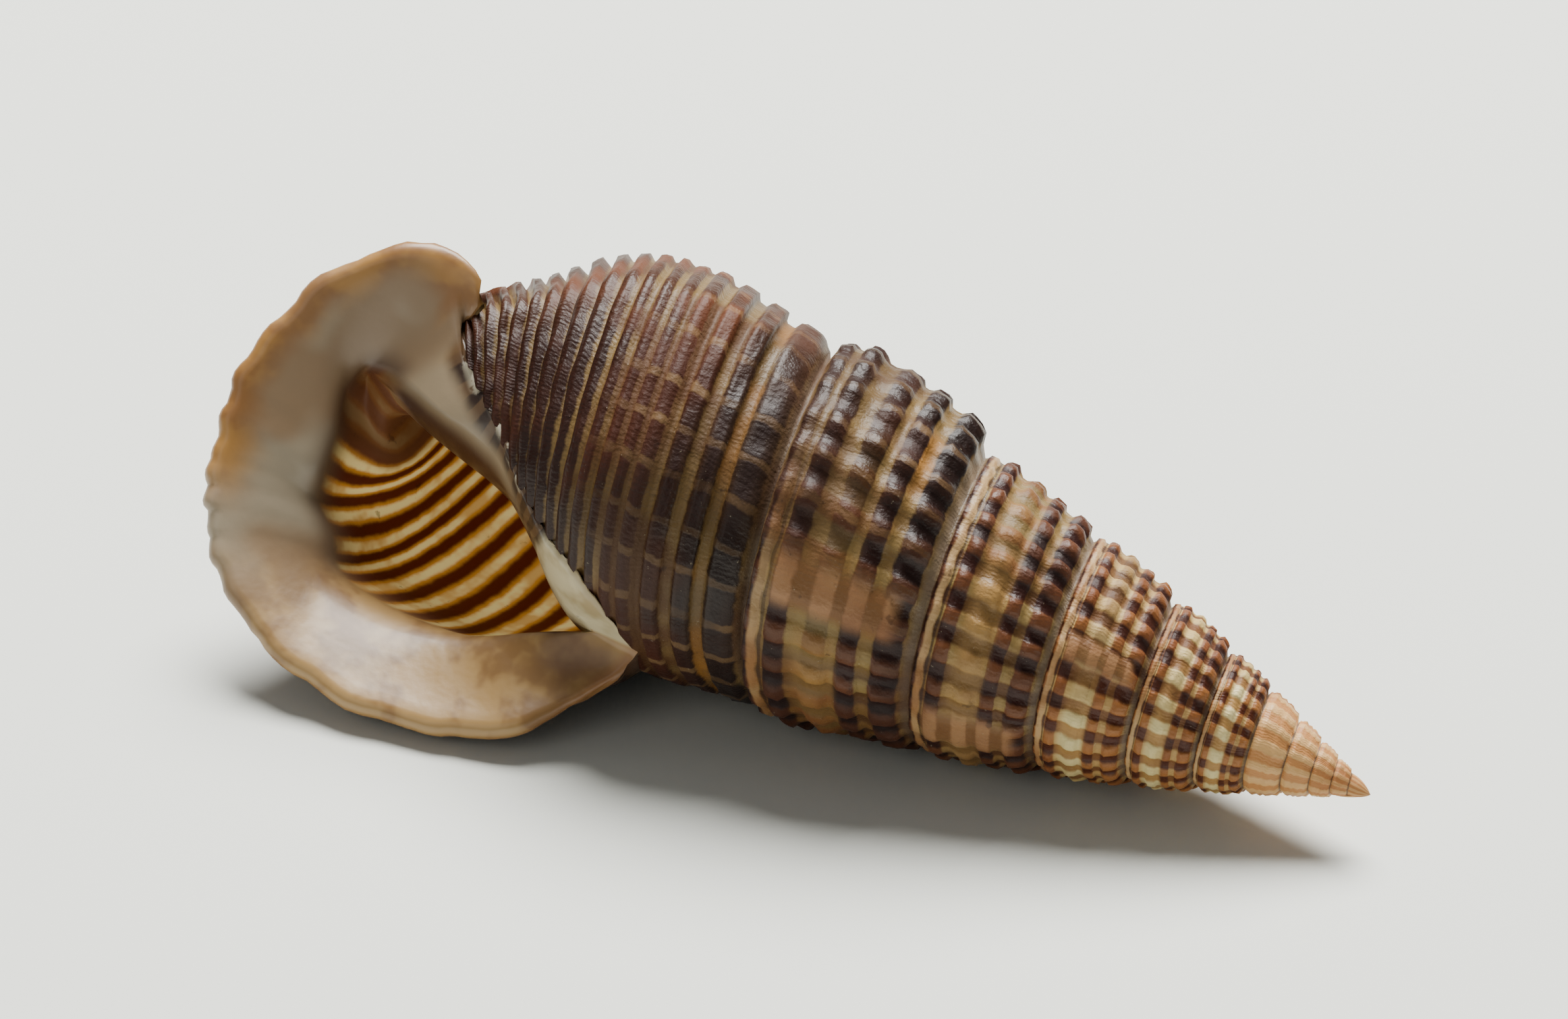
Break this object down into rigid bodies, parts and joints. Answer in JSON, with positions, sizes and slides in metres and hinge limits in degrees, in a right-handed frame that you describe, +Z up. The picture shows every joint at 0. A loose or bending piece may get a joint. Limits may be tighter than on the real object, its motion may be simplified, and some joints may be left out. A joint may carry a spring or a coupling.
{
  "type": "sulcate swamp cerith shell",
  "caption": "Spiral sea snail shell with corded and beaded whorls and a thick flared lip round its open mouth, lying on its side.",
  "frame": {"origin": "middle of the shell's footprint box, on the surface it rests on", "axes": "+X along the shell towards its pointed tip, -Y the side that the mouth faces, +Z up as it lies"},
  "size_m": [0.0504, 0.021, 0.0179],
  "materials": {
    "shell": "natural shell, dark brown cords with paler grooves, semi-gloss; glazed cream and grey lip"
  },
  "bodies": {
    "root": {"shell": "shell"}
  },
  "joints": []
}
